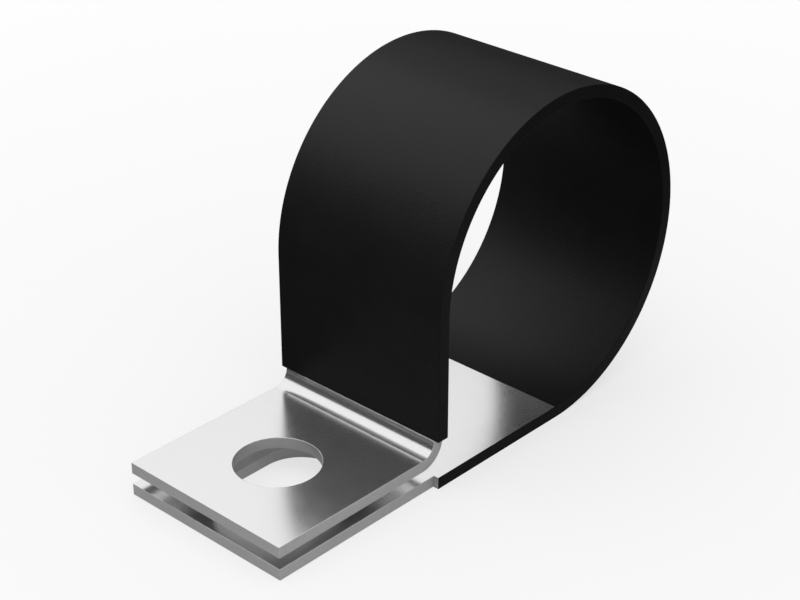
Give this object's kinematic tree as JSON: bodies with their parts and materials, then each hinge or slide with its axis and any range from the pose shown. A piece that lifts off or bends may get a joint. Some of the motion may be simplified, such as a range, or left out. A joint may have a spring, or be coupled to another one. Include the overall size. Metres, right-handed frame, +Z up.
{
  "type": "p clip",
  "caption": "P clip: a steel strap bent into a black vinyl coated loop for a cable or pipe, with bare ears for a clamping screw.",
  "frame": {"origin": "on the loop's axis, at half the clip's width", "axes": "+Y along the loop's axis, the ears reach towards -X, and +Z is up from the flat foot"},
  "size_m": [0.0419, 0.016, 0.0266],
  "materials": {
    "zinc_plated_steel": "bright zinc plating with a fine satin grain, cut edges a duller grey",
    "black_vinyl": "satin black, very fine even grain"
  },
  "bodies": {
    "root": {"steel_strap": "zinc_plated_steel", "vinyl_coating": "black_vinyl"}
  },
  "joints": []
}
